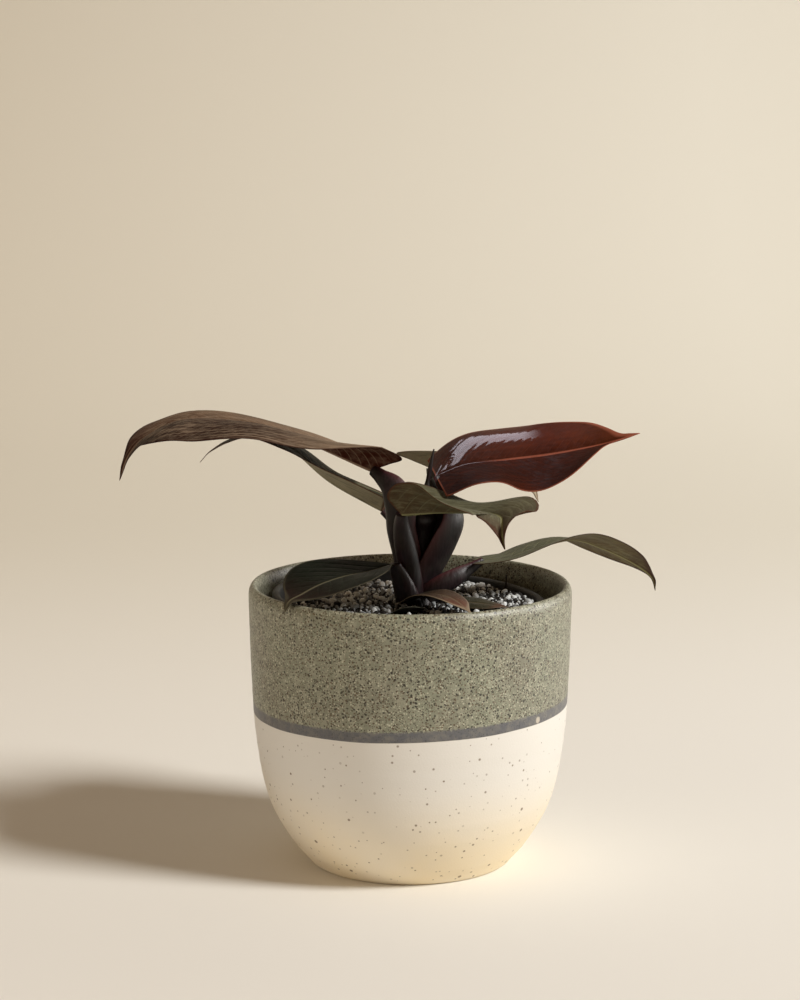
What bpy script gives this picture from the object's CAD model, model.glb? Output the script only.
import math

import bpy
import numpy as np
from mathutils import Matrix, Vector


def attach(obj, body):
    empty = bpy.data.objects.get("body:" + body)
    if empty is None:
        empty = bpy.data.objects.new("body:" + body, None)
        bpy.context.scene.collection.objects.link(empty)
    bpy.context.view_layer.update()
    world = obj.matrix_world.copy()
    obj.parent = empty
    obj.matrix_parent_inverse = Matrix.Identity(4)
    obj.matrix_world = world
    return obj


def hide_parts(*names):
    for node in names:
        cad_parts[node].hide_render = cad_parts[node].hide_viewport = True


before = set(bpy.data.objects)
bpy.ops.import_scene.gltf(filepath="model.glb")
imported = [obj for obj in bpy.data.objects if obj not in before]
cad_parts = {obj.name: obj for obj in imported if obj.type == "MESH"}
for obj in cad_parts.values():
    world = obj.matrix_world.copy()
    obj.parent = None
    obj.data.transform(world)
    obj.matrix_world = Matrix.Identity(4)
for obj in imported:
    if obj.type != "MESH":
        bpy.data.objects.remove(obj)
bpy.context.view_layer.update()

mm = 0.001    # plant and pots are given in millimetres, the studio in metres


def linear(code):
    values = []
    for k in (0, 2, 4):
        c = int(code[k:k + 2], 16) / 255
        values.append(c / 12.92 if c <= 0.04045 else ((c + 0.055) / 1.055) ** 2.4)
    return (*values, 1.0)


def addObject(name, data):
    made = bpy.data.objects.new(name, data)
    bpy.context.scene.collection.objects.link(made)
    return made


# place in millimetres, angles in radians, focal length in pixels of the photo
view = {
    "place": (0.0, -1100.0, 340.0), "down": 0.164, "turn": 0.0040,
    "focalPixels": 2596.0, "imageWidth": 800.0, "sensorWidth": 36.0, "clipStart": 0.05,
}


def addCamera():
    data = bpy.data.cameras.new("camera")
    data.sensor_fit = "HORIZONTAL"
    data.sensor_width = view["sensorWidth"]
    data.lens = view["focalPixels"] / view["imageWidth"] * view["sensorWidth"]
    data.clip_start = view["clipStart"]
    data.dof.use_dof = False
    camera = addObject("camera", data)
    camera.location = [c * mm for c in view["place"]]
    camera.rotation_euler = (math.pi / 2 - view["down"], 0.0, view["turn"])
    bpy.context.scene.camera = camera


addCamera()
print("camera set")


def onCircle(radius, k, count):
    angle = 2 * math.pi * k / count
    return radius * math.cos(angle), radius * math.sin(angle)


# smooth curve from b to c, with neighbours a and d
def curved(a, b, c, d, t):
    return b + 0.5 * t * (c - a + t * (2 * a - 5 * b + 4 * c - d + t * (3 * (b - c) + d - a)))


def through(values, at):
    v = np.asarray(values, float)
    last = len(v) - 1
    place = np.atleast_1d(np.clip(at, 0, 1)) * last
    k = np.minimum(place.astype(int), last - 1)
    t, first, final = place - k, k > 0, k < last - 1
    if v.ndim > 1:
        t, first, final = t[:, None], first[:, None], final[:, None]
    b, c = v[k], v[k + 1]
    a = np.where(first, v[np.maximum(k - 1, 0)], 2 * b - c)
    d = np.where(final, v[np.minimum(k + 2, last)], 2 * c - b)
    return curved(a, b, c, d, t)


def unit(vectors):
    return vectors / np.maximum(np.linalg.norm(vectors, axis=-1, keepdims=True), 1e-12)


class Spine:
    def __init__(self, path, steps=160):
        self.points = through(path, np.linspace(0, 1, steps + 1))
        gaps = np.linalg.norm(np.diff(self.points, axis=0), axis=1)
        self.along = np.concatenate([[0], np.cumsum(gaps)])
        self.length = self.along[-1]
        ahead = np.empty_like(self.points)
        ahead[1:-1] = self.points[2:] - self.points[:-2]
        ahead[0] = self.points[1] - self.points[0]
        ahead[-1] = self.points[-1] - self.points[-2]
        self.ahead = unit(ahead)
        right = np.empty_like(self.points)
        carried = unit(np.cross(self.ahead[0], (0.0, 0.0, 1.0)))
        for k in range(steps + 1):
            carried = unit(carried - self.ahead[k] * carried.dot(self.ahead[k]))
            right[k] = carried
        self.right = right
        self.up = np.cross(right, self.ahead)

    def at(self, distance):
        s = np.clip(distance, 0, self.length)

        def read(values):
            flat = [np.interp(s, self.along, values[:, axis]) for axis in range(3)]
            return np.stack(flat, axis=-1)
        return read(self.points), unit(read(self.ahead)), unit(read(self.right)), unit(read(self.up))


def outward(points, faces):
    volume = 0.0
    for face in faces:
        a = points[face[0]]
        for k in range(1, len(face) - 1):
            volume += np.dot(a, np.cross(points[face[k]], points[face[k + 1]]))
    return [face[::-1] for face in faces] if volume < 0 else faces


def addPiece(name, mesh):
    piece = addObject(name, mesh)
    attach(piece, "root")
    return piece


def meshPiece(name, points, faces, material, attributes=None):
    mesh = bpy.data.meshes.new(name)
    points = np.asarray(points, float)
    faces = [tuple(int(k) for k in face) for face in outward(points, faces)]
    mesh.from_pydata([tuple(p) for p in points * mm], [], faces)
    for key, values in (attributes or {}).items():
        layer = mesh.attributes.new(key, "FLOAT", "POINT")
        layer.data.foreach_set("value", np.asarray(values, np.float32))
    mesh.polygons.foreach_set("use_smooth", [True] * len(mesh.polygons))
    mesh.materials.append(material)
    mesh.update()
    return addPiece(name, mesh)


class Tree:
    def __init__(self, tree):
        self.tree = tree
        self.column = 0

    def node(self, kind, values=None, **settings):
        made = self.tree.nodes.new(kind)
        made.location = (self.column * 180, 0)
        self.column += 1
        for key, value in settings.items():
            setattr(made, key, value)
        for key, value in (values or {}).items():
            self.plug(made.inputs[key], value)
        return made

    def plug(self, socket, value):
        if isinstance(value, bpy.types.NodeSocket):
            self.tree.links.new(value, socket)
        elif socket.type == "RGBA" and isinstance(value, str):
            socket.default_value = linear(value)
        else:
            socket.default_value = value

    def math(self, operation, *values, clamp=False):
        made = self.node("ShaderNodeMath", dict(enumerate(values)), operation=operation, use_clamp=clamp)
        return made.outputs[0]

    def times(self, a, b, clamp=False):
        return self.math("MULTIPLY", a, b, clamp=clamp)

    def minus(self, a, b):
        return self.math("SUBTRACT", a, b)

    def timesPlus(self, a, b, c, clamp=False):
        return self.math("MULTIPLY_ADD", a, b, c, clamp=clamp)

    # a value moved up and down by a noise
    def swayed(self, value, noise, reach):
        return self.timesPlus(self.minus(noise, 0.5), reach, value)

    # how far a value is from the nearest whole number
    def fromWhole(self, value):
        return self.math("ABSOLUTE", self.minus(value, self.math("ROUND", value)))

    def vector(self, operation, values):
        return self.node("ShaderNodeVectorMath", values, operation=operation).outputs

    def ramp(self, value, low, high, start=0.0, end=1.0, smooth=True):
        values = {"Value": value, "From Min": low, "From Max": high, "To Min": start, "To Max": end}
        kind = "SMOOTHSTEP" if smooth else "LINEAR"
        return self.node("ShaderNodeMapRange", values, interpolation_type=kind).outputs["Result"]

    def mix(self, share, a, b, blend="MIX"):
        values = {"Factor": share, 6: a, 7: b}
        return self.node("ShaderNodeMix", values, data_type="RGBA", blend_type=blend).outputs[2]

    def attribute(self, name):
        return self.node("ShaderNodeAttribute", attribute_name=name).outputs["Fac"]

    def noise(self, vector, scale, detail=2.0, rough=0.5):
        values = {"Vector": vector, "Scale": scale, "Detail": detail, "Roughness": rough}
        return self.node("ShaderNodeTexNoise", values).outputs["Fac"]

    def group(self, tree, values):
        return self.node("ShaderNodeGroup", values, node_tree=tree).outputs

    def specks(self, vector, values):
        keys = ("Vector", "Scale", "Size", "Share", "Shift", "Cover")
        return self.group(specks, dict(zip(keys, (vector, *values))))

    def random(self, low, high, seed=0):
        first, kind = (2, "FLOAT") if isinstance(low, float) else (0, "FLOAT_VECTOR")
        values = {first: low, first + 1: high, "Seed": seed}
        return self.node("FunctionNodeRandomValue", values, data_type=kind).outputs[first // 2]

    def bump(self, height, distance, strength):
        values = {"Height": height, "Distance": distance * mm, "Strength": strength}
        return self.node("ShaderNodeBump", values).outputs["Normal"]

    # the values of the surface shader; gives the finished material back
    def surface(self, values):
        for key, value in values.items():
            self.plug(self.shader.inputs[key], value)
        return self.material


# sockets are listed by their type
def newGroup(name, kind, inputs, outputs):
    tree = bpy.data.node_groups.new(name, kind + "NodeTree")
    for way, sockets in (("INPUT", inputs), ("OUTPUT", outputs)):
        for key, names in sockets.items():
            for socket in names.split():
                tree.interface.new_socket(name=socket, in_out=way, socket_type="NodeSocket" + key)
    made = Tree(tree)
    return made, made.node("NodeGroupInput").outputs, made.node("NodeGroupOutput").inputs


def newMaterial(name):
    material = bpy.data.materials.new(name)
    material.use_nodes = True
    material.node_tree.nodes.clear()
    tree = Tree(material.node_tree)
    out = tree.node("ShaderNodeOutputMaterial")
    tree.material, tree.shader = material, tree.node("ShaderNodeBsdfPrincipled")
    tree.plug(out.inputs[0], tree.shader.outputs[0])
    return tree, tree.node("ShaderNodeTexCoord").outputs["Object"]


speckShape = {"sizes": (0.45, 1.25), "softness": 0.6}


def specksGroup():
    tree, start, end = newGroup("specks", "Shader", {
        "Vector": "Vector", "Float": "Scale Size Share Shift Cover"}, {"Float": "Mask Tone Cover"})
    shifted = tree.vector("ADD", {0: start["Vector"], 1: start["Shift"]})[0]
    cells = tree.node("ShaderNodeTexVoronoi", {"Vector": shifted, "Scale": start["Scale"]}).outputs
    parts = tree.node("ShaderNodeSeparateColor", {"Color": cells["Color"]}).outputs
    reach = tree.times(start["Size"], tree.ramp(parts[1], 0.0, 1.0, *speckShape["sizes"], False))
    disc = tree.ramp(cells["Distance"], reach, tree.times(reach, speckShape["softness"]))
    mask = tree.times(disc, tree.math("LESS_THAN", parts[0], start["Share"]))
    tree.plug(end["Mask"], mask)
    tree.plug(end["Tone"], parts[2])
    tree.plug(end["Cover"], tree.times(mask, start["Cover"]))
    return tree.tree


specks = specksGroup()

pot = {
    "height": 122.0, "lip": 4.4, "footBevel": 0.8, "throwing": 0.10, "segments": 160,
    "outside": [(43.6, 0), (53.2, 12), (62.3, 30), (67.2, 57), (69, 88), (69.8, 117)],
    "inside": [(65.4, 117), (64.3, 90), (62.6, 60), (58.2, 34), (50.5, 18), (42, 9), (33, 6.5)],
    "glazeLine": 68.4, "glazeTilt": 0.029, "glazeWave": 0.8, "glazeEdge": 0.12, "glazeStep": 0.35,
    "band": (3.9, 5.1), "bandRagged": 2.2,
    "cream": "dcd9d1", "creamWarm": "eedcb6", "creamSpeck": "6b563c", "warmUpTo": 55.0,
    "sage": "80836f", "sageCloud": "7a7967", "sageLight": "c4c2ab", "sageDark": "2f2c20",
    "sageRust": "5c4a35", "sageDeep": "1c1811", "sageBlotch": 0.25,
    "bandColour": "5a5b5e", "bandCloud": "6f6d68", "bandSpeck": "3d3c40",
    "nick": (53.6, -42.4, 71.6), "nickSize": (2.2, 1.4), "nickColour": "c9bfae", "nickCover": 0.8,
    # specks: cells per metre, size, share of the cells, shift and cover
    "dots": (330.0, 0.2, 0.7, 3.1, 0.9), "bigDots": (150.0, 0.14, 0.42, 7.7, 0.85),
    "light": (1150.0, 0.5, 0.5, 1.3, 0.65), "dark": (1150.0, 0.52, 0.85, 5.9, 0.95),
    "fineDark": (1650.0, 0.5, 0.5, 6.6, 0.45), "deep": (640.0, 0.38, 0.55, 9.2, 0.9),
    "bandGrain": (1300.0, 0.5, 0.45, 2.2, 0.5),
    "rough": (0.55, 0.66), "glazeSmoother": 0.14, "coat": 0.2, "coatRough": 0.4, "relief": 0.6,
}


def lathe(profile, segments):
    points, rings, faces = [], [], []
    for radius, height in profile:
        count = segments if radius > 1e-6 else 1
        rings.append([len(points) + k % count for k in range(segments)])
        points += [(*onCircle(radius, k, segments), height) for k in range(count)]
    for low, high in zip(rings[:-1], rings[1:]):
        for k in range(segments):
            n = (k + 1) % segments
            face = [low[k], low[n], high[n], high[k]]
            face = [v for i, v in enumerate(face) if v not in face[:i]]
            if len(face) > 2:
                faces.append(face)
    return np.array(points), faces


# points on a half ellipse, from its outer end to its inner end
def arch(middle, base, half, rise, steps, count):
    spots = [onCircle(1.0, k, 2 * count) for k in steps]
    return [(middle + half * x, base + rise * z) for x, z in spots]


def potProfile():
    edge, foot, bevel = pot["outside"][-1], pot["outside"][0][0], pot["footBevel"]
    profile = [(0, 0), (foot * 0.6, 0), (foot - bevel * 0.9, 0)]
    outer = through(pot["outside"], np.linspace(0, 1, 61))
    outer[0] = (outer[0][0] - 0.1, bevel * 0.45)
    profile += [tuple(p) for p in outer]
    half = pot["lip"] / 2
    profile += arch(edge[0] - half, edge[1], half, pot["height"] - edge[1], range(1, 16), 16)
    profile += [tuple(p) for p in through(pot["inside"], np.linspace(0, 1, 40))]
    return profile + [(20, pot["inside"][-1][1]), (0, pot["inside"][-1][1])]


def potMaterial():
    tree, where = newMaterial("stoneware")
    parts = tree.node("ShaderNodeSeparateXYZ", {"Vector": where}).outputs
    grain = tree.noise(where, 1400.0)
    line = tree.timesPlus(parts[0], pot["glazeTilt"], pot["glazeLine"] * mm)
    line = tree.swayed(line, tree.noise(where, 30.0, 1.0), pot["glazeWave"] * mm)
    above = tree.minus(parts[2], line)
    glazed = tree.ramp(above, -pot["glazeEdge"] * mm, pot["glazeEdge"] * mm)
    low, high = pot["band"]
    green = tree.ramp(tree.swayed(above, grain, pot["bandRagged"] * mm), low * mm, high * mm)

    # the bare lower part: cream, warmer towards the foot, with sparse brown specks
    cloud = tree.noise(where, 22.0, 3.0)
    warm = tree.ramp(parts[2], pot["warmUpTo"] * mm, 0.0)
    warm = tree.times(warm, tree.ramp(cloud, 0.2, 0.8, 0.5, 1.0), clamp=True)
    cream = tree.mix(warm, pot["cream"], pot["creamWarm"])
    dots, bigDots = tree.specks(where, pot["dots"]), tree.specks(where, pot["bigDots"])
    dotShare = tree.times(dots["Mask"], tree.ramp(dots["Tone"], 0.0, 1.0, 0.25, pot["dots"][-1], False))
    cream = tree.mix(tree.math("MAXIMUM", dotShare, bigDots["Cover"]), cream, pot["creamSpeck"])

    # the glazed upper part: sage, densely speckled dark and light
    patch, blotch = tree.noise(where, 45.0, 3.0), tree.noise(where, 260.0, 3.0, 0.6)
    sage = tree.mix(tree.ramp(patch, 0.3, 0.75), pot["sage"], pot["sageCloud"])
    sage = tree.mix(tree.ramp(blotch, 0.4, 0.7, 0.0, pot["sageBlotch"]), sage, pot["sageLight"])
    dark, deep = tree.specks(where, pot["dark"]), tree.specks(where, pot["deep"])
    sage = tree.mix(tree.specks(where, pot["light"])["Cover"], sage, pot["sageLight"])
    sage = tree.mix(tree.specks(where, pot["fineDark"])["Cover"], sage, pot["sageRust"])
    sage = tree.mix(dark["Cover"], sage, tree.mix(dark["Tone"], pot["sageDark"], pot["sageRust"]))
    sage = tree.mix(deep["Cover"], sage, pot["sageDeep"])

    # a grey band between them, and the nick in its lower edge
    band = tree.mix(tree.ramp(blotch, 0.35, 0.7), pot["bandColour"], pot["bandCloud"])
    band = tree.mix(tree.specks(where, pot["bandGrain"])["Cover"], band, pot["bandSpeck"])
    glaze = tree.mix(green, band, sage)
    nick = tree.vector("DISTANCE", {0: where, 1: [c * mm for c in pot["nick"]]})["Value"]
    nick = tree.ramp(tree.math("ADD", nick, tree.times(grain, 0.0008)), *(c * mm for c in pot["nickSize"]))
    glaze = tree.mix(tree.times(nick, pot["nickCover"]), glaze, pot["nickColour"])

    # thrown rings, the step of the glaze and the pits of its dark specks
    rings = tree.node("ShaderNodeCombineXYZ", {"Z": parts[2]}).outputs[0]
    step = tree.times(tree.ramp(above, -0.0003, 0.0004), pot["glazeStep"])
    pits = tree.times(tree.math("MAXIMUM", dark["Mask"], deep["Mask"]), glazed)
    height = tree.timesPlus(tree.noise(rings, 160.0), 0.25, tree.timesPlus(grain, 0.12, step))
    rough = tree.ramp(grain, 0.2, 0.8, *pot["rough"])
    return tree.surface({
        "Base Color": tree.mix(glazed, cream, glaze),
        "Roughness": tree.minus(rough, tree.times(glazed, pot["glazeSmoother"])),
        "Coat Weight": pot["coat"], "Coat Roughness": pot["coatRough"],
        "Normal": tree.bump(tree.minus(height, tree.times(pits, 0.08)), pot["relief"], 0.8)})


def buildPot():
    points, faces = lathe(potProfile(), pot["segments"])
    radius = np.hypot(points[:, 0], points[:, 1])
    ripple = pot["throwing"] * np.sin(points[:, 2] * 0.42) * np.sin(points[:, 2] * 0.13 + 1.0)
    shape = np.where(radius > 1, 1 - np.abs(ripple) / np.maximum(radius, 1), 1.0)
    points[:, :2] *= shape[:, None]
    piece = meshPiece("stonewarePot", points, faces, potMaterial())
    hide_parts("ceramic_pot")


buildPot()
print("stoneware pot built")


nursery = {
    "baseRadius": 38.0, "rimRadius": 57.4, "rollRadius": 59.4, "rollHeight": 5.0, "height": 107.5,
    "wall": 1.3, "footHeight": 2.0, "footWidth": 3.0, "segments": 128,
    "tilt": math.radians(2.5), "place": (-4.9, 0.0, 8.8),
    "colour": "1c1d1d", "dust": "403e38", "rough": (0.52, 0.7),
}


def leaned(points):
    c, s = math.cos(nursery["tilt"]), math.sin(nursery["tilt"])
    x = points[:, 0] * c + points[:, 2] * s
    z = -points[:, 0] * s + points[:, 2] * c
    return np.stack([x, points[:, 1], z], axis=1) + np.array(nursery["place"])


def wallRadius(height):
    p = nursery
    return p["baseRadius"] + (p["rimRadius"] - p["baseRadius"]) * height / (p["height"] - p["rollHeight"])


def plasticMaterial():
    tree, where = newMaterial("nurseryPlastic")
    cloud, grain = tree.noise(where, 60.0, 5.0, 0.6), tree.noise(where, 900.0, 3.0)
    dust = tree.times(tree.ramp(cloud, 0.45, 0.75), tree.ramp(grain, 0.35, 0.65, 0.2, 0.8))
    return tree.surface({
        "Base Color": tree.mix(dust, nursery["colour"], nursery["dust"]),
        "Roughness": tree.ramp(cloud, 0.3, 0.7, *nursery["rough"]),
        "Normal": tree.bump(grain, 0.3, 0.5)})


def buildNurseryPot():
    p, soft = nursery, 0.3
    floor = p["footHeight"] + p["wall"]
    foot = p["baseRadius"] - p["footWidth"]
    body = p["height"] - p["rollHeight"]
    inner = p["rimRadius"] - p["wall"]
    middle = (p["rollRadius"] + inner) / 2
    half = p["rollRadius"] - middle
    profile = [(0, p["footHeight"]), (foot, p["footHeight"]), (foot, soft), (foot + soft, 0),
               (p["baseRadius"] - soft, 0)]
    profile += [(wallRadius(h), h) for h in np.linspace(soft, body - soft, 24)]
    profile += [(p["rimRadius"] + soft, body), (p["rollRadius"] - 0.5, body), (p["rollRadius"], body + 0.5)]
    profile += arch(middle, p["height"] - 1.5, half, 1.45, range(9), 8)
    profile.append((inner, body))
    profile += [(wallRadius(h) - p["wall"], h) for h in np.linspace(body - 2, floor + 0.4, 22)]
    profile += [(wallRadius(floor) - p["wall"] - 0.4, floor), (0, floor)]
    points, faces = lathe(profile, p["segments"])
    piece = meshPiece("nurseryPot", leaned(points), faces, plasticMaterial())
    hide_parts("nursery_pot")


buildNurseryPot()
print("nursery pot built")


mix = {
    "level": 102.8, "mound": 1.4, "slope": 0.044, "edgeRadius": 55.3, "lump": 0.48,
    "rings": 44, "segments": 120, "rim": 1.2, "overFloor": 0.35,
    "colour": "100d0b", "light": "262019", "fleck": "34383a", "flecks": (700.0, 0.45, 0.35, 4.4, 0.5),
    "relief": 2.0,
}

# how the loose grains lie on the mix: spacing, sizes, roughness and depth in millimetres
grains = {
    "perliteGrains": {"spacing": 2.35, "size": (0.4, 1.95), "rough": 1.6, "sink": 0.2, "seed": 11,
                      "material": "perlite", "dark": "34383a", "light": "f2f5f3"},
    "barkCrumbs": {"spacing": 2.0, "size": (0.5, 1.8), "rough": 1.8, "sink": -0.2, "seed": 16,
                   "material": "barkCrumb", "dark": "0a0908", "light": "2a241f"},
}
grainShape = {"density": 900000.0, "narrow": (0.75, 0.65, 0.6), "wide": (1.25, 1.05, 0.95), "lumps": 420.0}


def mixTop(x, y):
    share = np.hypot(x, y) / mix["edgeRadius"]
    rough = np.sin(0.21 * x + 1.3) * np.cos(0.17 * y + 0.4)
    rough = rough + np.sin(0.31 * y + 2.2) * np.cos(0.27 * x + 3.1)
    return mix["level"] + mix["slope"] * x + mix["mound"] * (1 - share ** 2) + mix["lump"] * rough


def mixMaterial():
    tree, where = newMaterial("pottingMix")
    clods = tree.noise(where, 420.0, 4.0, 0.65)
    colour = tree.mix(tree.ramp(clods, 0.35, 0.7), mix["colour"], mix["light"])
    colour = tree.mix(tree.specks(where, mix["flecks"])["Cover"], colour, mix["fleck"])
    return tree.surface({
        "Base Color": colour, "Roughness": 0.95, "Normal": tree.bump(clods, mix["relief"], 1.0)})


def grainMaterial(name, dark, light):
    tree, where = newMaterial(name)
    broad, fine = tree.noise(where, 170.0), tree.noise(where, 1500.0, 3.0, 0.6)
    share = tree.swayed(tree.ramp(broad, 0.25, 0.75, 0.15, 0.55), fine, 0.5)
    share = tree.timesPlus(tree.ramp(tree.attribute("tone"), 0.15, 0.85), 0.6, share, clamp=True)
    return tree.surface({
        "Base Color": tree.mix(share, dark, light), "Roughness": 0.9, "Normal": tree.bump(fine, 0.7, 0.8)})


def scatterTree():
    tree, start, end = newGroup("scatterGrains", "Geometry", {
        "Geometry": "Geometry", "Float": "Spacing Smallest Largest Roughness Sink", "Int": "Seed",
        "Material": "Material"}, {"Geometry": "Geometry"})
    spread = tree.node("GeometryNodeDistributePointsOnFaces", {
        "Mesh": start["Geometry"], "Distance Min": start["Spacing"], "Density Max": grainShape["density"],
        "Seed": start["Seed"]}, distribute_method="POISSON")
    marked = tree.node("GeometryNodeStoreNamedAttribute", {
        "Geometry": spread.outputs["Points"], "Name": "tone", "Value": tree.random(0.0, 1.0, 4),
    }, data_type="FLOAT", domain="POINT")
    ball = tree.node("GeometryNodeMeshIcoSphere", {"Radius": 1.0, "Subdivisions": 2}).outputs["Mesh"]
    turn = tree.random((0, 0, 0), (6.3, 6.3, 6.3), start["Seed"])
    lean = tree.math("POWER", tree.random(0.0, 1.0, start["Seed"]), 2.0)
    width = tree.timesPlus(lean, tree.minus(start["Largest"], start["Smallest"]), start["Smallest"])
    flat = tree.random(grainShape["narrow"], grainShape["wide"])
    copies = tree.node("GeometryNodeInstanceOnPoints", {
        "Points": marked.outputs["Geometry"], "Instance": ball, "Rotation": turn,
        "Scale": tree.vector("SCALE", {0: flat, "Scale": width})[0]}).outputs[0]
    real = tree.node("GeometryNodeRealizeInstances", {"Geometry": copies}).outputs[0]

    # a noise pushes every point of the balls, which turns them into crumbs
    place = tree.node("GeometryNodeInputPosition").outputs[0]
    noise = tree.node("ShaderNodeTexNoise", {"Vector": place, "Scale": grainShape["lumps"], "Detail": 2.0})
    centred = tree.vector("SUBTRACT", {0: noise.outputs["Color"], 1: (0.5, 0.5, 0.5)})[0]
    push = tree.vector("SCALE", {0: centred, "Scale": start["Roughness"]})[0]
    drop = tree.node("ShaderNodeCombineXYZ", {"Z": start["Sink"]}).outputs[0]
    moved = tree.node("GeometryNodeSetPosition", {
        "Geometry": real, "Offset": tree.vector("ADD", {0: push, 1: drop})[0]}).outputs[0]
    smooth = tree.node("GeometryNodeSetShadeSmooth", {"Geometry": moved}).outputs[0]
    coloured = tree.node("GeometryNodeSetMaterial", {"Geometry": smooth, "Material": start["Material"]})
    tree.plug(end["Geometry"], coloured.outputs[0])
    return tree.tree


def scattered(name, ground, tree):
    grain = grains[name]
    low, high = grain["size"]
    values = {
        "Spacing": grain["spacing"] * mm, "Smallest": low * mm, "Largest": high * mm,
        "Roughness": grain["rough"] * mm, "Sink": grain["sink"] * mm, "Seed": grain["seed"],
        "Material": grainMaterial(grain["material"], grain["dark"], grain["light"])}
    holder = addObject(name + "Field", ground)
    modifier = holder.modifiers.new("scatter", "NODES")
    modifier.node_group = tree
    for item in tree.interface.items_tree:
        if item.in_out == "INPUT" and item.name in values:
            modifier[item.identifier] = values[item.name]
    holder.update_tag()
    seen = holder.evaluated_get(bpy.context.evaluated_depsgraph_get())
    mesh = bpy.data.meshes.new_from_object(seen)
    mesh.name = name
    bpy.data.objects.remove(holder)
    addPiece(name, mesh)


def spot(ring, j):
    return 1 + (ring - 1) * mix["segments"] + j % mix["segments"]


def mixSurface():
    rings, segments = mix["rings"], mix["segments"]
    points, faces = [(0.0, 0.0)], []
    for k in range(1, rings + 1):
        points += [onCircle(mix["edgeRadius"] * k / rings, j, segments) for j in range(segments)]
    for j in range(segments):
        faces.append((0, spot(1, j), spot(1, j + 1)))
        for k in range(1, rings):
            faces.append((spot(k, j), spot(k + 1, j), spot(k + 1, j + 1), spot(k, j + 1)))
    return np.array(points), faces


def buildMix():
    rings, segments = mix["rings"], mix["segments"]
    flat, faces = mixSurface()
    top = np.column_stack([flat, mixTop(flat[:, 0], flat[:, 1])])
    ground = bpy.data.meshes.new("mixGround")
    reach = mix["edgeRadius"] - mix["rim"]
    inner = [face for face in faces if max(np.hypot(*flat[k]) for k in face) < reach]
    ground.from_pydata([tuple(p) for p in leaned(top) * mm], [], inner)
    points = [tuple(p) for p in top]
    floor = nursery["footHeight"] + nursery["wall"] + mix["overFloor"]
    radius = wallRadius(floor) - nursery["wall"] - mix["overFloor"]
    low = len(points)
    points += [(*onCircle(radius, j, segments), floor) for j in range(segments)] + [(0.0, 0.0, floor)]
    for j in range(segments):
        n = (j + 1) % segments
        faces.append((spot(rings, j), low + j, low + n, spot(rings, j + 1)))
        faces.append((low + j, len(points) - 1, low + n))
    bed = meshPiece("mixBed", leaned(np.array(points)), faces, mixMaterial())
    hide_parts("potting_mix")
    tree = scatterTree()
    scattered("perliteGrains", ground, tree)
    scattered("barkCrumbs", ground, tree)


buildMix()
print("potting mix built")


# from stalk to tip, in tenths of the length, and share of the half width
margin = [
    (0, 0), (-0.55, 0.2), (-1, 0.45), (-0.4, 0.68), (1.1, 0.84), (2.9, 0.98), (4.7, 1),
    (6.3, 0.92), (7.6, 0.68), (8.5, 0.36), (9.1, 0.14), (9.55, 0.065), (10, 0),
]

blade = {
    "thickness": 0.55, "edgeShare": 0.45, "veinDepth": 0.16, "ribDepth": 0.28, "ribBulge": 0.5,
    "mottle": (0.86, 1.12), "veinCover": 0.3, "ribCover": 0.8, "rimCover": 0.75,
    "underDuller": 0.15, "coatRough": 0.09, "relief": 0.4,
}

# what a leaf has where it says nothing else
usualLeaf = {
    "slot": "blade_green", "margin": margin, "columns": 110, "rows": 30, "slant": 0.8, "relief": 1.0,
    "streaks": 0.4, "shade": "17120d", "rough": 0.5, "shine": 0.22, "ribFrom": 0.0,
}
smallLeaf = {"columns": 60, "rows": 16, "relief": 0.6}

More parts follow.
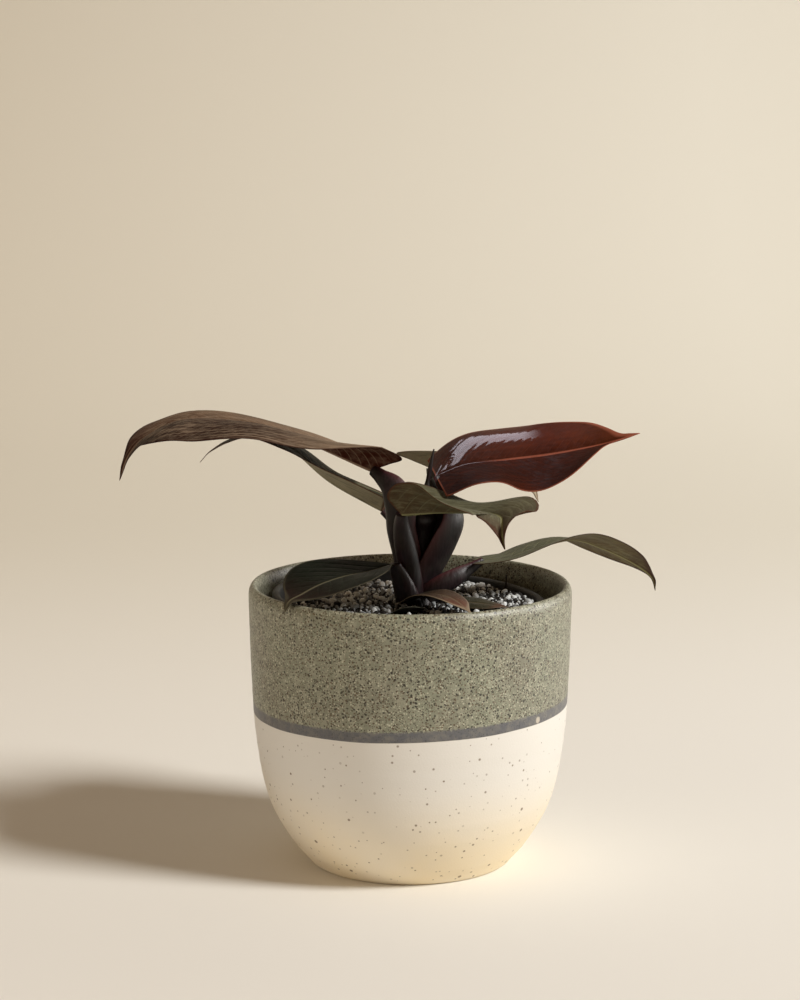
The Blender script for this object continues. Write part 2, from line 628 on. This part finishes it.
# pairs are for the right and the left half, angles in degrees, colours from stalk to tip
leaves = {
    "leaf_long_left": {
        "slot": "blade_brown",
        "rib": [(-16.5, 2, 170.5), (-47.5, 4, 184), (-72.5, 5.5, 191), (-97, 7, 192),
                (-113.5, 7.5, 184.5), (-121, 7, 177), (-126, 8.5, 165)],
        "margin": [(0, 0), (-0.55, 0.2), (-1, 0.45), (-0.4, 0.68), (1.1, 0.84), (2.9, 0.98), (4.7, 1),
                   (6.3, 0.95), (7.6, 0.82), (8.5, 0.4), (9.1, 0.13), (9.55, 0.065), (10, 0)],
        "width": (31, 32), "lobe": (2, 10), "roll": (-14, -7, -2, 1, 13),
        "fold": ((19, 14, 9, 11, 16, 30), (60, 28, 15, 3, 6, -9)),
        "curl": ((-5, -15, -22, -31, -27), (-98, -59, -33, -29, 3)),
        "veins": 4.6, "slant": 0.75,
        "upper": ("88735f", "66503e", "41231a"), "upperLeft": ("7a6754", "33221a", "1c100b"),
        "under": ("38190f", "3a1c12", "2c150e"), "underStreaks": 0.06,
        "rim": "2a0d09", "midrib": "8f7864", "vein": "9c8872", "shade": "1f110a",
        "rough": 0.55, "shine": 0.05, "streaks": 0.45,
    },
    "leaf_narrow_left": {
        "rib": [(-12, 9, 152), (-34.5, 13, 164), (-50.5, 18.5, 176.5), (-65, 24.5, 182.5),
                (-78.5, 28.5, 180.5), (-88, 30, 175), (-93, 32, 169.5)],
        "width": (15.5, 15.5), "lobe": (2, 0), "roll": (-4, -5, -1),
        "fold": ((30, 14, 11, 8), (35, 23, 2, -10, -34)), "curl": ((-7, -16, -20), (2, -5, -8)),
        "veins": 6.0,
        "upper": ("3a392b", "23241b", "1f1d16"), "under": ("928a72", "8a826a", "3c2c20"),
        "rim": "4a241a", "midrib": "6c684e", "vein": "7d775e", "shade": "22201a", "rough": 0.55,
        "shine": 0.1, "streaks": 0.6,
    },
    "leaf_red_right": {
        "slot": "blade_red",
        "rib": [(11, 8, 167), (24, 9.5, 172), (41, 12.5, 173.5), (61.5, 13, 176), (80, 15.5, 179),
                (91, 15, 182), (99.6, 15.5, 185)],
        "width": (24.5, 22), "lobe": (0, 0), "roll": (-18, -27, -35, -26, -22),
        "fold": ((-1, 14, 4, 24, 40), (2, 22, 19, 27, 40)),
        "curl": ((-8, -1, 9, -10), (-5, -42, -40, -17)),
        "veins": 3.8, "slant": 0.85,
        "upper": ("260d05", "2e1107", "44200f"), "upperLeft": ("34140a", "4c1f10", "5e301c"),
        "under": ("2a0f09", "35130b", "401c10"),
        "rim": "9c5a44", "midrib": "9a5844", "vein": "5a2818", "shade": "200a05",
        "shine": 0.03, "coat": 0.35, "relief": 0.9, "streaks": 0.3, "ribFrom": 0.4,
    },
    "leaf_behind_right": {
        "rib": [(9.7, 37, 166), (19.8, 39, 165.4), (30.9, 42, 169.2), (44, 44, 167), (52.5, 45, 160.6),
                (57.6, 45.5, 149.6)],
        "width": (19.5, 19), "lobe": (17.5, 3), "roll": (11, -2, -9, -20),
        "fold": ((62, 28, 5, -16), (19, 15, 15, 18)), "curl": ((-84, -44, -13), (-1, -17, -34)),
        "veins": 6.5,
        "upper": ("aba083", "827c64", "665e4e"), "under": ("c4b799", "958d74", "7a7060"),
        "rim": "7b6a56", "midrib": "b4a88e", "vein": "b0a488", "shade": "6a604c", "rough": 0.6,
        "shine": 0.1,
    },
    "leaf_front": {
        "rib": [(-3.5, -14, 154), (12, -18.5, 156), (28, -26.5, 157), (37, -33, 156.5),
                (38, -38.5, 154), (38, -44.5, 151), (39, -47, 145)],
        "width": (19, 22.5), "lobe": (5, 5), "roll": (-9, -3, -6, -27),
        "fold": ((81, 34, 25, 35), (48, 16, 30, 82)), "curl": ((21, -15, -35), (-23, -41, -48)),
        "veins": 6.5,
        "upper": ("4f4d38", "545440", "4a3a2c"), "under": ("4a3d2a", "544c34", "4a2a1e"),
        "rim": "4a2c1e", "midrib": "8b8a62", "vein": "74735a", "shade": "33261a", "rough": 0.52,
        "shine": 0.14,
    },
    "leaf_low_right": {
        "rib": [(31.5, 4.5, 130.5), (42.5, 4.5, 132), (55.5, 10.5, 135.5), (71, 18.5, 137.5),
                (85, 27, 132), (99, 35, 124), (108, 40, 116.5), (110, 41.5, 110)],
        "width": (15, 15), "lobe": (4.5, 5.5), "roll": (6, 5, 6),
        "fold": ((1, 11, 13), (4, 12, 9)), "curl": ((-9, -5, -11), (7, -17, -52)),
        "veins": 6.0,
        "upper": ("5a5c48", "4c4e3a", "45402c"), "under": ("5a4a34", "57492f", "4a3a26"),
        "rim": "3a2018", "midrib": "8a8658", "vein": "7c7a5a", "shade": "2c2a1c", "shine": 0.14,
    },
    "leaf_over_rim": {
        "rib": [(-7, -11, 132), (-17, -19, 130.5), (-28, -28.5, 130), (-37.5, -38, 128.5),
                (-45, -45, 125.8), (-50, -49.5, 123.8), (-52, -52, 119.5)],
        "margin": [(0, 0), (0.35, 0.12), (0.8, 0.3), (1.4, 0.5), (2.2, 0.72), (3.3, 0.9), (4.7, 1),
                   *margin[7:]],
        "width": (22, 20.5), "lobe": (0, 0), "roll": (-8, 0, 0),
        "fold": ((20, 4, -6), (15, 4, -8)), "curl": ((3, 11, 18), (-13, 1, 17)),
        "veins": 7.0,
        "upper": ("11140e", "131610", "2a1c18"), "under": ("1c1d15", "1a1b13", "241a15"),
        "rim": "4a4638", "midrib": "6a6550", "vein": "1e2319", "shine": 0.05,
    },
    "old_leaf_front": {
        "slot": "blade_brown", **smallLeaf,
        "rib": [(-1, -8.5, 116), (8.5, -18.5, 120.5), (18, -26.5, 120), (26.5, -34.5, 115)],
        "width": (10, 11), "lobe": (3, 2), "roll": (-6, 4, 9),
        "fold": ((2, 8, -7), (12, 11, -7)), "curl": ((-13, -9), (-13, -26)),
        "veins": 4.0,
        "upper": ("2c2d22", "453528", "6a3a28"), "under": ("2c2018", "3a281c", "4a2a1c"),
        "rim": "8a7c66", "midrib": "6a5a44", "vein": "5a4a38",
    },
    "old_leaf_small": {
        **smallLeaf,
        "rib": [(4, -23.5, 114.5), (-3, -26.5, 115), (-9, -28, 113.5)],
        "width": (6.5, 7), "lobe": (1, 1), "roll": (-13, -16),
        "fold": ((-4, -7), (14, 15)), "curl": ((-21, -18), (-14, -8)),
        "veins": 3.5,
        "upper": ("2c2f26", "30332a", "2c2a22"), "under": ("22201a", "242018", "201a14"),
        "rim": "4a4a3c", "midrib": "4a4a38", "vein": "3a3c30",
    },
    "old_leaf_on_soil": {
        "slot": "blade_brown", **smallLeaf,
        "rib": [(21.5, -8, 115), (28.5, -11, 115), (36, -13.5, 114.5), (43, -16, 114)],
        "width": (6.5, 7), "lobe": (1, 1), "roll": (-8, 3),
        "fold": ((1, 8), (13, 2)), "curl": ((-18, -14), (-16, -20)),
        "veins": 3.5,
        "upper": ("23261c", "34301f", "6e3324"), "under": ("2c2018", "3a281c", "4a2a1c"),
        "rim": "5a5040", "midrib": "5a503c", "vein": "4a4434",
    },
}


def angles(values, share):
    return np.radians(through(values, share.ravel())).reshape(share.shape)


def bladeSurface(leaf):
    line = Spine(leaf["rib"])
    length = line.length
    u = np.linspace(0, 1, leaf["columns"] + 1)
    t = np.linspace(0, 1, leaf["rows"] + 1)
    shape = through(leaf["margin"], u)
    onRib = length * (0.9 * u ** 1.35 + 0.1 * u)
    sides = []
    for side, k in ((-1, 1), (1, 0)):
        half, lobe = leaf["width"][k], leaf["lobe"][k]
        onMargin = np.where(shape[:, 0] < 0, shape[:, 0] * lobe, shape[:, 0] * length / 10)
        x = onRib[:, None] + (onMargin - onRib)[:, None] * t[None, :] ** 1.4
        y = (shape[:, 1] * half)[:, None] * t[None, :]
        share = np.clip(x / length, 0, 1)
        roll, fold = angles(leaf["roll"], share), angles(leaf["fold"][k], share)
        curl = angles(leaf["curl"][k], share) + 1e-4
        bend = half / curl
        out = bend * (np.sin(fold + curl * y / half) - np.sin(fold))
        lift = bend * (np.cos(fold) - np.cos(fold + curl * y / half))
        point, ahead, right, up = line.at(x)
        across = right * np.cos(roll)[..., None] + up * np.sin(roll)[..., None]
        normal = up * np.cos(roll)[..., None] - right * np.sin(roll)[..., None]
        place = point + ahead * np.minimum(x, 0)[..., None]
        place = place + across * (side * out)[..., None] + normal * lift[..., None]
        sides.append((place, x, y, (shape[:, 1] * half)[:, None] * (1 - t)[None, :]))
    joined = [np.concatenate([a[:, ::-1], b[:, 1:]], axis=1) for a, b in zip(*sides)]
    return joined, length


def gridNormals(grid):
    normal = np.cross(np.gradient(grid, axis=1), np.gradient(grid, axis=0))
    middle = grid.shape[1] // 2
    normal[0] = normal[1, middle]
    normal[-1] = normal[-2, middle]
    return unit(normal)


def veinRelief(phase, fromRib, edge):
    # lateral veins sit a little low on the upper face, and the blade swells between them
    off = np.abs(phase - np.round(phase))
    fade = np.clip(edge / 4, 0, 1) * np.clip(fromRib / 3, 0, 1)
    groove, ribGroove = np.exp(-(off / 0.11) ** 2), np.exp(-(fromRib / 1.1) ** 2)
    return -(blade["veinDepth"] * groove * fade + blade["ribDepth"] * ribGroove)


def buildBlade(name, leaf):
    columns = leaf["columns"]
    (grid, x, y, edge), length = bladeSurface(leaf)
    normal = gridNormals(grid)
    phase = (x - leaf["slant"] * y - 0.35 * y * y / max(leaf["width"])) / leaf["veins"]
    relief = veinRelief(phase, y, edge) * leaf["relief"]
    thick = blade["thickness"] * (blade["edgeShare"] + (1 - blade["edgeShare"]) * np.clip(edge / 3, 0, 1))
    top = grid + normal * (thick / 2 + relief)[..., None]
    low = grid - normal * (thick / 2 - relief * 0.6)[..., None]
    ribBulge = blade["ribBulge"] * np.exp(-(y / 1.2) ** 2) * np.clip(1 - x / length, 0.1, 1)
    low -= normal * ribBulge[..., None]
    width = grid.shape[1]
    middle = width // 2
    half = 0.5 + 0.5 * np.sign(np.arange(width) - middle)
    marks = {"phase": phase, "fromRib": y, "fromEdge": edge, "along": np.clip(x / length, 0, 1),
             "half": np.tile(half, (columns + 1, 1))}

    # both ends of the blade close in one point
    points, number, places = [], {}, []
    for layer, surface in enumerate((top, low)):
        for i in range(columns + 1):
            tip = i in (0, columns)
            for j in range(1 if tip else width):
                number[layer, i, j] = len(points)
                source = middle if tip else j
                points.append(surface[i, source])
                places.append((i, source))
    attributes = {key: [values[place] for place in places] for key, values in marks.items()}
    attributes["face"] = np.repeat((1, 0), len(points) // 2)
    faces = []

    def add(*corners):
        found = [number[layer, i, j if 0 < i < columns else 0] for layer, i, j in corners]
        kept = [c for k, c in enumerate(found) if c not in found[:k]]
        if len(kept) > 2:
            faces.append(kept)
    last = width - 1
    for i in range(columns):
        n = i + 1
        for j in range(last):
            add((0, i, j), (0, n, j), (0, n, j + 1), (0, i, j + 1))
            add((1, i, j), (1, i, j + 1), (1, n, j + 1), (1, n, j))
        add((0, i, 0), (1, i, 0), (1, n, 0), (0, n, 0))
        add((0, i, last), (0, n, last), (1, n, last), (1, i, last))
    material = bladeMaterial(name, leaf)
    piece = meshPiece(name + "_blade", np.array(points), faces, material, attributes)
    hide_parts(name)


def bladeMarks():
    tree, start, end = newGroup("bladeMarks", "Shader", {"Vector": "Vector"}, {
        "Float": "Rib Vein Rim Streak Mottle Relief Long"})
    where = start["Vector"]
    fromRib, fromEdge = tree.attribute("fromRib"), tree.attribute("fromEdge")
    phase = tree.swayed(tree.attribute("phase"), tree.noise(where, 90.0), 0.18)
    vein = tree.ramp(tree.fromWhole(phase), 0.10, 0.02)
    vein = tree.times(vein, tree.times(tree.ramp(fromEdge, 0.0, 5.0), tree.ramp(fromRib, 0.0, 2.0)))
    fine = tree.fromWhole(tree.times(phase, 9.0))
    streak = tree.times(tree.ramp(fine, 0.42, 0.1), tree.ramp(tree.noise(where, 260.0, 3.0), 0.4, 0.65))
    lengthwise = tree.node("ShaderNodeCombineXYZ", {
        "X": tree.times(tree.attribute("along"), 1.9),
        "Y": tree.timesPlus(tree.attribute("half"), 7.0, tree.times(fromRib, 0.8)),
        "Z": tree.times(fromEdge, 0.22)}).outputs[0]
    relief = tree.timesPlus(streak, 0.35, tree.times(tree.noise(where, 1800.0), 0.35))
    marks = {
        "Rib": tree.ramp(fromRib, 0.85, 0.3), "Vein": vein, "Rim": tree.ramp(fromEdge, 0.8, 0.25),
        "Streak": streak, "Mottle": tree.noise(where, 120.0, 4.0, 0.6),
        "Relief": tree.timesPlus(vein, -0.8, relief), "Long": tree.noise(lengthwise, 1.0, 3.0, 0.6)}
    for key, value in marks.items():
        tree.plug(end[key], value)
    return tree.tree


marksTree = bladeMarks()


def threeTones(tree, along, tones):
    near = tree.mix(tree.ramp(along, 0.05, 0.45), tones[0], tones[1])
    return tree.mix(tree.ramp(along, 0.55, 0.95), near, tones[2])


def bladeMaterial(name, leaf):
    tree, where = newMaterial(name + "Skin")
    marks = tree.group(marksTree, {"Vector": where})
    along, face, half = tree.attribute("along"), tree.attribute("face"), tree.attribute("half")
    upper = threeTones(tree, along, leaf["upper"])
    if "upperLeft" in leaf:
        across = tree.times(tree.minus(half, 0.5), tree.attribute("fromRib"))
        upper = tree.mix(tree.ramp(across, -5.0, 3.0), threeTones(tree, along, leaf["upperLeft"]), upper)
    above = tree.ramp(face, 0.4, 0.6)
    colour = tree.mix(above, threeTones(tree, along, leaf["under"]), upper)

    # long pale and dark streaks, then the veins and the fine streaks between them
    streaks = leaf["streaks"]
    share = tree.ramp(above, 0.0, 1.0, leaf.get("underStreaks", streaks), streaks, False)
    pale = tree.times(tree.ramp(marks["Long"], 0.5, 0.64), share)
    dark = tree.times(tree.ramp(marks["Long"], 0.48, 0.34), tree.times(share, 0.8))
    shade = tree.ramp(marks["Mottle"], 0.3, 0.7, *blade["mottle"])
    grey = tree.node("ShaderNodeCombineColor", {"Red": shade, "Green": shade, "Blue": shade}).outputs[0]
    colour = tree.mix(pale, colour, leaf["vein"])
    colour = tree.mix(dark, colour, leaf["shade"])
    colour = tree.mix(tree.times(marks["Vein"], blade["veinCover"]), colour, leaf["vein"])
    colour = tree.mix(tree.times(marks["Streak"], 0.2 + streaks * 0.2), colour, leaf["vein"])
    colour = tree.mix(1.0, colour, grey, "MULTIPLY")
    rib = tree.ramp(along, leaf["ribFrom"] - 0.2, leaf["ribFrom"], 0.0, blade["ribCover"])
    colour = tree.mix(tree.times(marks["Rib"], rib), colour, leaf["midrib"])
    colour = tree.mix(tree.times(marks["Rim"], blade["rimCover"]), colour, leaf["rim"])
    rough = tree.ramp(marks["Mottle"], 0.3, 0.7, leaf["rough"] - 0.04, leaf["rough"] + 0.08)
    dull = tree.times(tree.ramp(face, 0.6, 0.4), blade["underDuller"])
    if "coat" in leaf:
        waxy = tree.times(tree.ramp(half, 0.7, 0.4), tree.ramp(along, 0.55, 0.42))
        tree.surface({"Coat Weight": tree.times(waxy, leaf["coat"])})
    return tree.surface({
        "Base Color": colour, "Roughness": tree.math("ADD", rough, dull),
        "Specular IOR Level": leaf["shine"], "Coat Roughness": blade["coatRough"],
        "Normal": tree.bump(marks["Relief"], blade["relief"], 0.6)})


for leafName, leafValues in leaves.items():
    buildBlade(leafName, {**usualLeaf, **leafValues})
print("leaf blades built")


stalks = {
    "leaf_long_left": {
        "path": [(1, 1, 108), (-0.5, 0, 121), (-2, -2, 134), (-4.4, -3.5, 146), (-4.7, -4, 154.5),
                 (-7.1, -3, 163), (-12.5, -0.2, 167.7)],
        "across": (5, 5, 4.6, 4.4, 4.2, 3.8, 3.2, 2.6),
        "depth": (8, 9.5, 10.6, 11, 11.5, 10.2, 5.8, 3.6),
        "solid": (0.4, 0.4, 0.35, 0.3, 0.3, 0.3, 0.5, 0.9), "turn": (0, 0, 0, -10, -20, -25, -20, 0),
    },
    "leaf_narrow_left": {
        "path": [(2, 3, 108), (0, 4.5, 122), (-3.5, 6, 134), (-7, 8, 146)],
        "across": (5, 4.5, 3.5, 2.6, 2.2), "depth": (7, 6, 5, 3.5, 2.8),
        "solid": (0.4, 0.4, 0.6, 0.8, 0.9),
    },
    "leaf_red_right": {
        "path": [(4, 2, 108), (6, 2.5, 124), (13, 3, 139.5), (17, 3.5, 148.5), (16, 5.5, 155.5),
                 (13.5, 7, 161.5)],
        "across": (5.5, 6, 6, 5, 4, 3, 2.6), "depth": (10, 12, 14, 13, 9, 5, 3.4),
        "solid": (0.3, 0.3, 0.3, 0.35, 0.5, 0.8, 0.9), "turn": (0, 5, 15, 20, 15, 0, 0),
    },
    "leaf_behind_right": {
        "path": [(4, 6, 108), (7, 10, 124), (9.5, 16, 140), (10.5, 26, 155)],
        "across": (4.5, 4, 3.4, 2.6, 2.2), "depth": (7, 6, 5, 3.5, 2.8),
        "solid": (0.4, 0.4, 0.6, 0.8, 0.9),
    },
    "leaf_front": {
        "path": [(1.5, -2.5, 108), (0.3, -5, 120), (-1.2, -7, 131), (-3, -9.5, 141), (-4, -12, 149)],
        "across": (5, 5, 4.8, 4.4, 3.4, 2.4), "depth": (7, 7, 6.5, 6, 4.5, 3),
        "solid": (0.4, 0.4, 0.4, 0.5, 0.7, 0.9),
    },
    "leaf_low_right": {
        "path": [(5, 0, 108), (8.5, -1.5, 116.5), (13.5, -2.5, 121), (20, -1.5, 124.5),
                 (25.5, 1.5, 127.3)],
        "across": (5, 4.6, 4.4, 3.8, 2.8, 2.2), "depth": (7, 8, 8, 7, 4.6, 2.8),
        "solid": (0.4, 0.35, 0.35, 0.4, 0.6, 0.9),
    },
    "leaf_over_rim": {
        "path": [(0.5, -3, 108), (-2, -7, 118), (-4.6, -9, 126)],
        "across": (6, 5.6, 4.4, 2.6), "depth": (7, 6, 4.5, 3), "solid": (0.4, 0.4, 0.6, 0.9),
    },
}

stem = {
    "steps": 64, "sides": 44, "shortOf": 0.3,
    "crown": [(2, 0.5, 86), (2.4, 1, 92), (3, 1.2, 99), (3, 1, 107), (2.6, 0.5, 114), (2.6, 0.5, 121)],
    "crownRadius": (3, 7.5, 9.5, 10, 8.6, 4),
    "spear": [(5, 5, 118), (5.2, 6, 132), (5.3, 7, 143), (5.5, 7, 150), (6.6, 6.8, 157),
              (7.4, 6.6, 164), (8.6, 7, 171), (10.2, 7.5, 179)],
    "spearRadius": (3, 3.5, 6, 7.6, 4, 1.2, 0.95, 0.35),
    "smallFrom": (2.6, 0.5, 110), "smallRadius": (1.8, 1.5, 1.2),
    "colour": "120a0b", "lit": "24161a", "olive": "2a2a1f", "margin": "4e2629", "rough": (0.4, 0.56),
    "shine": 0.4,
}


def sheathRing(solid, count):
    outline = np.array([
        (-0.86, 1), (-1, 0.6), (-0.78, 0.2), (-0.35, 0), (0.35, 0), (0.78, 0.2), (1, 0.6), (0.86, 1),
        (0.6, 0.96), (0, solid), (-0.6, 0.96),
    ])
    n = len(outline)
    place = np.arange(count) / count * n
    k = place.astype(int)
    a, b, c, d = (outline[(k + shift) % n] for shift in (-1, 0, 1, 2))
    ring = curved(a, b, c, d, (place - k)[:, None])
    # the two upper edges of the sheath are thin wings, drawn in the margin colour
    wing = np.minimum(np.minimum(np.abs(place), np.abs(place - 7)), np.abs(place - n))
    return ring, np.exp(-(wing / 0.55) ** 2)


def swept(rings):
    count, last = len(rings[0]), (len(rings) - 1) * len(rings[0])
    faces = []
    for k in range(0, last, count):
        for j in range(count):
            n = (j + 1) % count
            faces.append((k + j, k + n, k + count + n, k + count + j))
    faces.append(tuple(range(count))[::-1])
    faces.append(tuple(range(last, last + count)))
    return np.concatenate(rings), faces


def stalkEnd(leaf):
    rib = np.array(leaf["rib"][:2], float)
    return rib[0] + unit(rib[0] - rib[1]) * stem["shortOf"]


def stalkShape(name):
    stalk, steps, sides = stalks[name], stem["steps"], stem["sides"]
    line = Spine(list(stalk["path"]) + [tuple(stalkEnd(leaves[name]))], steps)
    rings, wings = [], []
    for k in range(steps + 1):
        u = k / steps
        across, depth = through(stalk["across"], u)[0], through(stalk["depth"], u)[0]
        ring, wing = sheathRing(through(stalk["solid"], u)[0], sides)
        twist = math.radians(through(stalk.get("turn", (0, 0)), u)[0])
        right = line.right[k] * math.cos(twist) - line.up[k] * math.sin(twist)
        up = line.up[k] * math.cos(twist) + line.right[k] * math.sin(twist)
        rings.append(line.points[k] + right * (ring[:, :1] * across) + up * ((ring[:, 1:] - 0.5) * depth))
        wings.append(wing * min(1.0, 3 * u))
    return *swept(rings), np.concatenate(wings)


def rodShape(path, radius, sides, steps):
    line = Spine(path, steps)
    angle = np.arange(sides) / sides * 2 * math.pi
    rings = []
    for k in range(steps + 1):
        r = through(radius, k / steps)[0]
        across, up = (np.cos(angle) * r)[:, None], (np.sin(angle) * r)[:, None]
        rings.append(line.points[k] + line.right[k] * across + line.up[k] * up)
    points, faces = swept(rings)
    return points, faces, np.zeros(len(points))


def smallStalkShape(leaf):
    start, end = np.array(stem["smallFrom"]), stalkEnd(leaf)
    middle = (start + end) / 2 + np.array((0, 0, 0.12 * np.linalg.norm(end - start)))
    return rodShape([tuple(start), tuple(middle), tuple(end)], stem["smallRadius"], 16, 20)


def stalkMaterial():
    tree, where = newMaterial("stalkSkin")
    long = tree.vector("MULTIPLY", {0: where, 1: (1.0, 1.0, 0.12)})[0]
    lines, cloud = tree.noise(long, 900.0, 3.0, 0.6), tree.noise(where, 110.0, 3.0)
    colour = tree.mix(tree.ramp(lines, 0.35, 0.7), stem["colour"], stem["lit"])
    colour = tree.mix(tree.times(tree.ramp(cloud, 0.4, 0.7), 0.4), colour, stem["olive"])
    colour = tree.mix(tree.times(tree.attribute("wing"), 0.8), colour, stem["margin"])
    return tree.surface({
        "Base Color": colour, "Roughness": tree.ramp(cloud, 0.3, 0.7, *stem["rough"]),
        "Specular IOR Level": stem["shine"], "Normal": tree.bump(lines, 0.4, 0.6)})


def buildStems():
    shapes = [stalkShape(name) for name in stalks]
    shapes += [smallStalkShape(leaves[name]) for name in leaves if name not in stalks]
    shapes.append(rodShape(stem["crown"], stem["crownRadius"], 48, 48))
    shapes.append(rodShape(stem["spear"], stem["spearRadius"], 24, 60))
    points, faces, wings = [], [], []
    for shapePoints, shapeFaces, wing in shapes:
        start = sum(len(p) for p in points)
        faces += [tuple(k + start for k in face) for face in outward(shapePoints, shapeFaces)]
        points.append(shapePoints)
        wings.append(wing)
    piece = meshPiece("stemsAndStalks", np.concatenate(points), faces, stalkMaterial(), {
        "wing": np.concatenate(wings)})
    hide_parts("stems_and_stalks")


buildStems()

twig = {
    "path": [(40.4, 31, 103), (40.5, 31.2, 110.5), (42.4, 31.5, 114.3), (42.7, 31.8, 119)],
    "radius": (0.5, 0.5, 0.45, 0.35), "colour": "1f1813", "light": "3f352a",
}


def buildTwig():
    points, faces, _ = rodShape(twig["path"], twig["radius"], 14, 40)
    bark = grainMaterial("dryBark", twig["colour"], twig["light"])
    piece = meshPiece("dryStalk", points, faces, bark)
    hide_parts("dry_stalk")


buildTwig()
print("stalks built")


# metres: a floor that curves up into a wall, a sun, and three panels
studio = {
    "floorLeft": "d3cdc1", "floorRight": "f1f1ec", "floorFade": (-0.55, 0.35), "floorRough": 0.85,
    "wallShade": (0.85, 0.83, 0.77, 1.0), "wallFade": (0.1, 0.9),
    "halfWidth": 9.0, "bendAt": 1.2, "bend": 1.2, "wallTop": 4.0,
    "world": "f0c8a0", "worldStrength": 0.26,
}
lamps = {
    "key": {"from": (0.74, -0.30, 0.60), "to": (0, 0, 0), "angle": 0.26, "power": 3.45,
            "colour": (1.0, 0.985, 0.965)},
    "window": {"from": (-0.12, 0.33, 1.25), "to": (0.03, 0, 0.17), "size": (0.60, 0.40), "power": 8.5,
               "colour": (0.95, 0.90, 1.0), "shift": -0.14},
    "side": {"from": (1.35, 0.30, 0.42), "to": (0, 0, 0.1), "size": (0.50, 0.60), "power": 11.0,
             "colour": (1.0, 0.98, 0.95)},
    "fill": {"from": (-1.1, -0.9, 0.15), "to": (0, 0, 0.07), "size": (0.80, 0.40), "power": 4.0,
             "colour": (1.0, 0.95, 0.88)},
}


def floorMaterial():
    tree, where = newMaterial("paleFloor")
    parts = tree.node("ShaderNodeSeparateXYZ", {"Vector": where}).outputs
    share = tree.ramp(parts["X"], *studio["floorFade"], smooth=False)
    colour = tree.mix(share, studio["floorLeft"], studio["floorRight"])
    behind = tree.ramp(parts["Y"], *studio["wallFade"])
    return tree.surface({
        "Base Color": tree.mix(behind, colour, studio["wallShade"], "MULTIPLY"),
        "Roughness": studio["floorRough"]})


def buildFloor():
    wide, start, bend = studio["halfWidth"], studio["bendAt"], studio["bend"]
    profile = [(-wide, 0.0), (start, 0.0)]
    for k in range(1, 13):
        angle = math.pi / 2 * k / 12
        profile.append((start + bend * math.sin(angle), bend - bend * math.cos(angle)))
    profile.append((start + bend, studio["wallTop"]))
    points = [(x, y, z) for y, z in profile for x in (-wide, wide)]
    mesh = bpy.data.meshes.new("floor")
    mesh.from_pydata(points, [], [(k, k + 1, k + 3, k + 2) for k in range(0, len(points) - 2, 2)])
    mesh.polygons.foreach_set("use_smooth", [True] * len(mesh.polygons))
    mesh.materials.append(floorMaterial())
    addObject("floor", mesh)


def addLamp(name):
    values = lamps[name]
    light = bpy.data.lights.new(name, "AREA" if "size" in values else "SUN")
    light.energy, light.color = values["power"], values["colour"]
    if "size" in values:
        light.shape = "RECTANGLE"
        light.size, light.size_y = values["size"]
    else:
        light.angle = values["angle"]
    lamp = addObject(name, light)
    lamp.location = values["from"]
    ahead = Vector(values["to"]) - lamp.location
    lamp.rotation_euler = ahead.to_track_quat("-Z", "Y").to_euler()
    return lamp


def buildStudio():
    buildFloor()
    addLamp("key")
    # the window is only a sheen on the waxy red leaf
    window = addLamp("window")
    window.location += window.rotation_euler.to_matrix().col[1] * lamps["window"]["shift"]
    window.visible_diffuse = False
    waxyLeaf = bpy.data.collections.new("waxyLeaf")
    waxyLeaf.objects.link(bpy.data.objects["leaf_red_right_blade"])
    window.light_linking.receiver_collection = waxyLeaf
    addLamp("side").visible_diffuse = False
    addLamp("fill").visible_glossy = False
    world = bpy.data.worlds.new("studio")
    world.use_nodes = True
    shade = world.node_tree.nodes["Background"]
    shade.inputs["Color"].default_value = linear(studio["world"])
    shade.inputs["Strength"].default_value = studio["worldStrength"]
    bpy.context.scene.world = world
    bpy.context.scene.view_settings.view_transform = "Standard"


buildStudio()
print("studio built")
